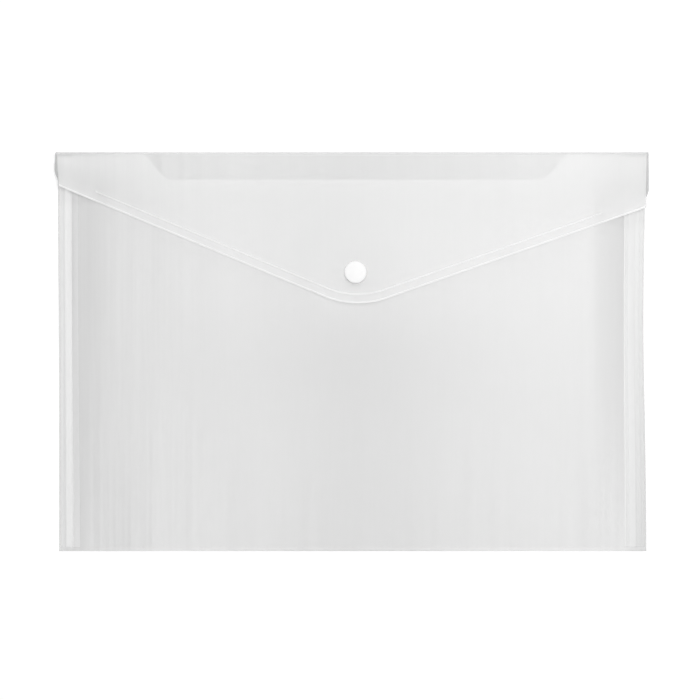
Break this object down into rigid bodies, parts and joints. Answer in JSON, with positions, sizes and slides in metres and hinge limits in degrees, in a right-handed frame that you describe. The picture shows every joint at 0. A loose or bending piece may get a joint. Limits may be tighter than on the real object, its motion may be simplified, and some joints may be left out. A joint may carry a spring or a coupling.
{
  "type": "document wallet",
  "caption": "Landscape A4 document wallet of frosted clear plastic sheet: a welded pocket with a shallow mouth recess, closed by a V-shaped fold-over flap with a round snap.",
  "frame": {"origin": "under the middle of the wallet, on the surface that its back lies on", "axes": "+X along the long side, to the right as seen from the front; +Y towards the flap's fold; +Z out of the front"},
  "size_m": [0.3396, 0.227, 0.0108],
  "materials": {
    "pp_sheet": "frosted clear polypropylene sheet, extruded, satin",
    "snap_white": "white injection-moulded plastic, glossy"
  },
  "bodies": {
    "pocket": {"back_panel": "pp_sheet", "front_panel": "pp_sheet", "bottom_fold": "pp_sheet", "left_seam": "pp_sheet", "right_seam": "pp_sheet", "snap_stud": "snap_white", "stud_backing_cap": "snap_white"},
    "spine": {"spine_strip": "pp_sheet"},
    "flap": {"flap_panel": "pp_sheet", "snap_cap": "snap_white", "snap_socket": "snap_white"}
  },
  "joints": [
    {"name": "spine_fold", "type": "hinge", "parent": "pocket", "child": "spine", "pos_m": [0, 0.1134, 0.0001], "axis": [-1, 0, 0], "range_deg": [0, 90]},
    {"name": "flap_fold", "type": "hinge", "parent": "spine", "child": "flap", "pos_m": [0, 0.1134, 0.0068], "axis": [-1, 0, 0], "range_deg": [0, 86]}
  ]
}
